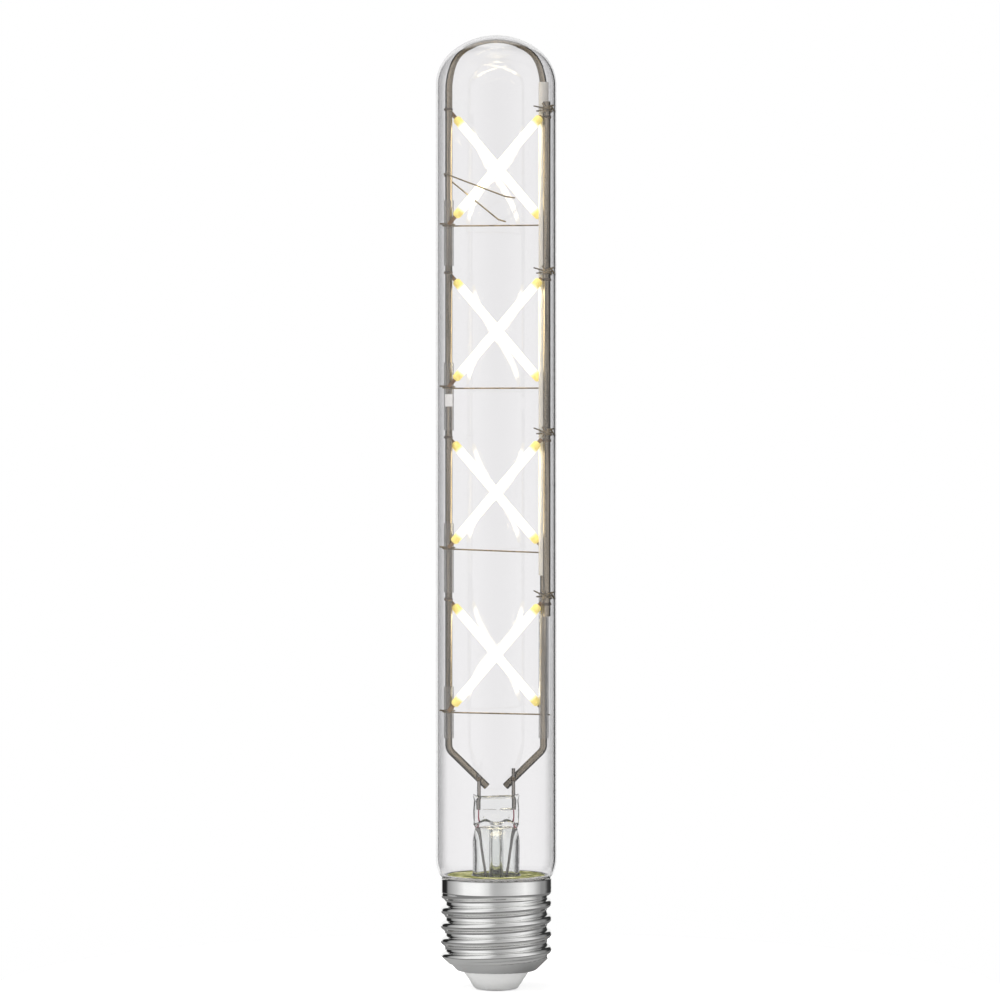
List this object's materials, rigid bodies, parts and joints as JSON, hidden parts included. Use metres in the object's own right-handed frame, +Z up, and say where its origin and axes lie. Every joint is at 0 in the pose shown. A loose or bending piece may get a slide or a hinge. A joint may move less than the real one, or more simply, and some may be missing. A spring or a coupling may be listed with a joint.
{
  "type": "tubular light bulb",
  "caption": "Clear tubular LED filament bulb: crossed filaments on a wire frame in a domed glass tube, on a screw cap.",
  "frame": {"origin": "on the bulb's axis, on the lower face of the centre contact", "axes": "+Z up along the bulb's axis from the cap to the dome, -Y to the picture's camera, +X to the picture's right"},
  "size_m": [0.0285, 0.0284, 0.225],
  "materials": {
    "envelope_glass": "clear polished glass",
    "stem_glass": "clear pressed glass",
    "sleeve_glass": "clear drawn glass tube",
    "rod_metal": "satin plated wire",
    "lead_nickel": "satin nickel wire",
    "seal_copper": "copper-clad wire, red in the glass",
    "tail_metal": "satin plated wire",
    "strip_metal": "heat-tinted strip",
    "phosphor": "yellow silicone coat, white when lit",
    "thin_wire": "dull thin wire",
    "cap_metal": "bright nickel plate",
    "insulator_white": "white moulded",
    "cement": "mottled olive basing cement",
    "contact_metal": "tinned",
    "board": "green circuit board",
    "package": "black moulded package",
    "capacitor_sleeve": "dark sleeve on a metal can",
    "resistor_body": "lacquered resistor body",
    "hookup_metal": "tinned wire"
  },
  "bodies": {
    "root": {"basing_cement": "cement", "bridge_rectifier": "package", "centre_contact": "contact_metal", "common_rod": "rod_metal", "cross_wire_1": "thin_wire", "cross_wire_2": "thin_wire", "cross_wire_3": "thin_wire", "cross_wire_4": "thin_wire", "driver_board": "board", "driver_chip": "package", "fuse_resistor": "resistor_body", "glass_envelope": "envelope_glass", "glass_stem": "stem_glass", "hoop_support_rod": "rod_metal", "insulator": "insulator_white", "left_lead_wire": "lead_nickel", "left_seal_wire": "seal_copper", "left_sleeve_1": "sleeve_glass", "left_sleeve_2": "sleeve_glass", "left_sleeve_3": "sleeve_glass", "left_sleeve_4": "sleeve_glass", "left_support_rod": "rod_metal", "left_tail_wire": "tail_metal", "live_wire": "hookup_metal", "lower_sleeve": "sleeve_glass", "neutral_wire": "hookup_metal", "phosphor_1a": "phosphor", "phosphor_1b": "phosphor", "phosphor_2a": "phosphor", "phosphor_2b": "phosphor", "phosphor_3a": "phosphor", "phosphor_3b": "phosphor", "phosphor_4a": "phosphor", "phosphor_4b": "phosphor", "return_sleeve": "sleeve_glass", "right_lead_wire": "lead_nickel", "right_seal_wire": "seal_copper", "right_tail_wire": "tail_metal", "screw_shell": "cap_metal", "smoothing_capacitor": "capacitor_sleeve", "spring_wire": "thin_wire", "strip_1a": "strip_metal", "strip_1b": "strip_metal", "strip_2a": "strip_metal", "strip_2b": "strip_metal", "strip_3a": "strip_metal", "strip_3b": "strip_metal", "strip_4a": "strip_metal", "strip_4b": "strip_metal", "tie_wire_1": "thin_wire", "tie_wire_2": "thin_wire", "tie_wire_3": "thin_wire", "tie_wire_4": "thin_wire"}
  },
  "joints": []
}
